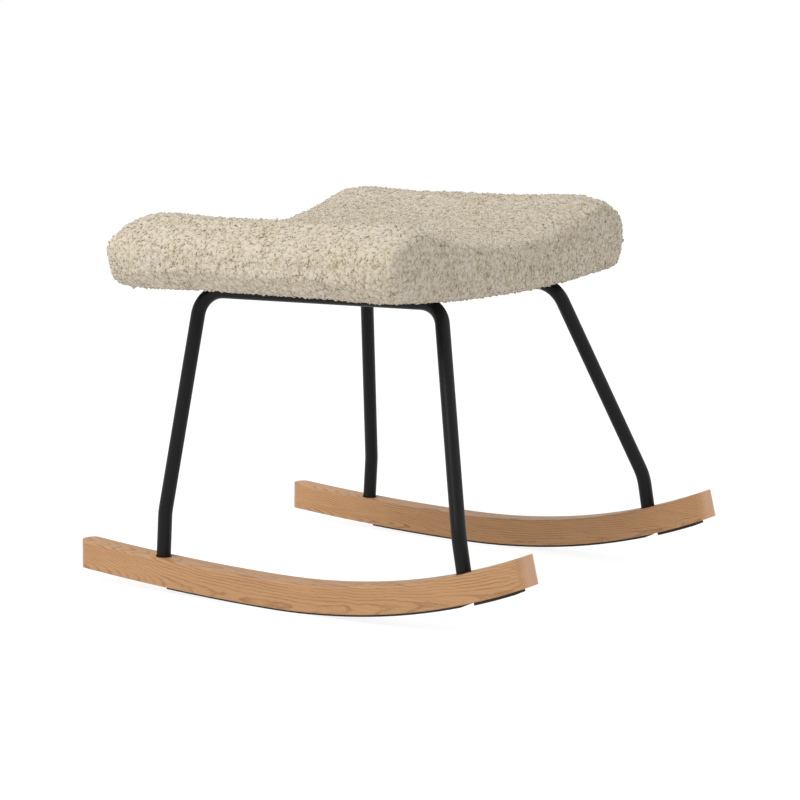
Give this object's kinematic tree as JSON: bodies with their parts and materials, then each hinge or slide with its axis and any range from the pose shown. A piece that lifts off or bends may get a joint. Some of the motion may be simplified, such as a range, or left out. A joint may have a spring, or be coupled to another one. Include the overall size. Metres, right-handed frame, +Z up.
{
  "type": "rocking footstool",
  "caption": "Footstool on two curved wooden rockers, with splayed bent-tube hoops and a thick saddle-shaped seat in curly fleece.",
  "frame": {"origin": "on the floor, at the middle of the whole stool's footprint, with the stool at rest", "axes": "+Y along the rockers towards their nearly straight rear ends, +X across the two rockers, +Z up"},
  "size_m": [0.5249, 0.5897, 0.4259],
  "materials": {
    "oiled_ash": "satin",
    "black_powder_coat": "satin",
    "sole_rubber": "matte",
    "zinc_steel": "satin",
    "birch_plywood": "matte",
    "foam": "matte",
    "curly_boucle": "matte",
    "dust_cloth": "matte"
  },
  "bodies": {
    "root": {"rocker_left": "oiled_ash", "rocker_right": "oiled_ash", "sole_strip_left": "sole_rubber", "sole_strip_right": "sole_rubber", "stop_strip_left": "sole_rubber", "stop_strip_right": "sole_rubber", "hoop_left": "black_powder_coat", "hoop_right": "black_powder_coat", "crossbar_front": "black_powder_coat", "crossbar_rear": "black_powder_coat", "weld_beads": "black_powder_coat", "leg_plugs": "zinc_steel", "foot_washers": "zinc_steel", "foot_screws": "zinc_steel", "seat_shell": "birch_plywood", "insert_nuts": "zinc_steel", "seat_washers": "zinc_steel", "seat_screws": "zinc_steel", "dust_cloth": "dust_cloth", "cloth_staples": "zinc_steel", "foam_pad": "foam", "seat_cover": "curly_boucle"}
  },
  "joints": []
}
